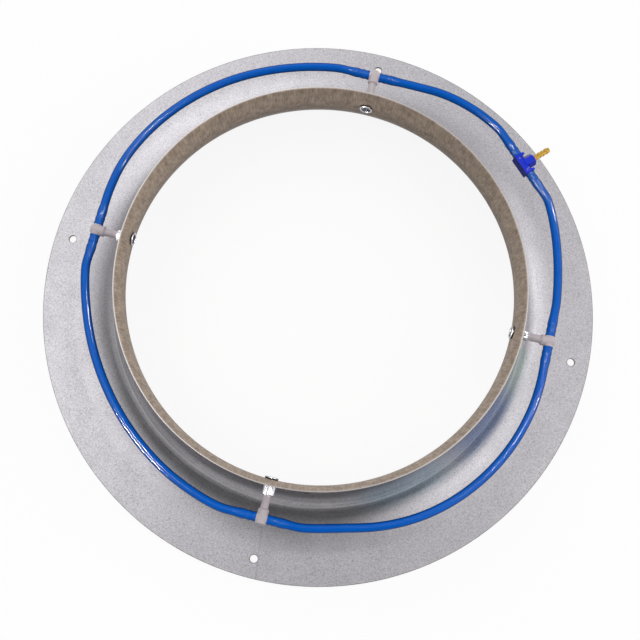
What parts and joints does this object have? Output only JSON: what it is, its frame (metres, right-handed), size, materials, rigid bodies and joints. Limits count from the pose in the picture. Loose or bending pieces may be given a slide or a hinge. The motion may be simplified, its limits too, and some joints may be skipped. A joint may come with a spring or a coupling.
{
  "type": "fan inlet ring",
  "caption": "Spun metal bell-mouth inlet ring for a fan, with a flat bolting flange, pressure taps at the throat and a ring line of blue hose with an outlet nipple.",
  "frame": {"origin": "on the ring's axis, on the lower face of the flange", "axes": "+Z along the ring's axis from the flange to the rim; the taps and the flange holes lie on +X, +Y, -X and -Y"},
  "size_m": [0.44, 0.44, 0.071],
  "materials": {
    "galvanised_sheet": "galvanised, fine speckle",
    "plated_steel": "bright zinc plate",
    "black_rubber": "matte",
    "grey_plastic": "matte moulded",
    "blue_hose": "smooth gloss",
    "blue_plastic": "smooth moulded",
    "brass": "turned"
  },
  "bodies": {
    "root": {"inlet_ring": "galvanised_sheet", "tap_bush_east": "plated_steel", "tap_bush_north": "plated_steel", "tap_bush_west": "plated_steel", "tap_bush_south": "plated_steel", "tap_seal_east": "black_rubber", "tap_seal_north": "black_rubber", "tap_seal_west": "black_rubber", "tap_seal_south": "black_rubber", "tap_tee_east": "grey_plastic", "tap_tee_north": "grey_plastic", "tap_tee_west": "grey_plastic", "tap_tee_south": "grey_plastic", "hose_east_outlet": "blue_hose", "hose_outlet_north": "blue_hose", "hose_north_west": "blue_hose", "hose_west_south": "blue_hose", "hose_south_east": "blue_hose", "outlet_tee": "blue_plastic", "outlet_nipple": "brass"}
  },
  "joints": []
}
